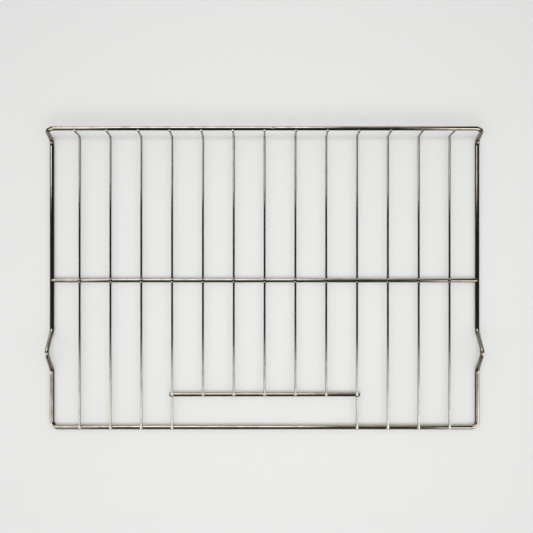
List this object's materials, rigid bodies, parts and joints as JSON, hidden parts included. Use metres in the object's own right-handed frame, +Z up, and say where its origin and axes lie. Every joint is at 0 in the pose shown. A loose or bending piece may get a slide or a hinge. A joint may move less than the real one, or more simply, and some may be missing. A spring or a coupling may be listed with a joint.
{
  "type": "microwave grill rack",
  "caption": "Flat rack of welded, plated wire with a raised rear bar, humps in its side wires and a hand gap at the front, for grilling or stacking food in a microwave oven.",
  "frame": {"origin": "the middle of the rack's outline, on the plane that the side wires and the front bar rest on", "axes": "+X across the rack to its right, along the bars; +Y from the front bar to the raised rear bar, along the grill wires; +Z up"},
  "size_m": [0.495, 0.3452, 0.0271],
  "materials": {
    "bar_plating": "bright nickel and chrome plating over drawn steel wire, a little yellowed",
    "wire_plating": "bright nickel and chrome plating over thin drawn steel wire, a little yellowed"
  },
  "bodies": {
    "root": {"frame_wire": "bar_plating", "middle_bar": "bar_plating", "handle_bar": "bar_plating", "grill_wire_01": "wire_plating", "grill_wire_02": "wire_plating", "grill_wire_03": "wire_plating", "grill_wire_04": "wire_plating", "grill_wire_05": "wire_plating", "grill_wire_06": "wire_plating", "grill_wire_07": "wire_plating", "grill_wire_08": "wire_plating", "grill_wire_09": "wire_plating", "grill_wire_10": "wire_plating", "grill_wire_11": "wire_plating", "grill_wire_12": "wire_plating", "grill_wire_13": "wire_plating"}
  },
  "joints": []
}
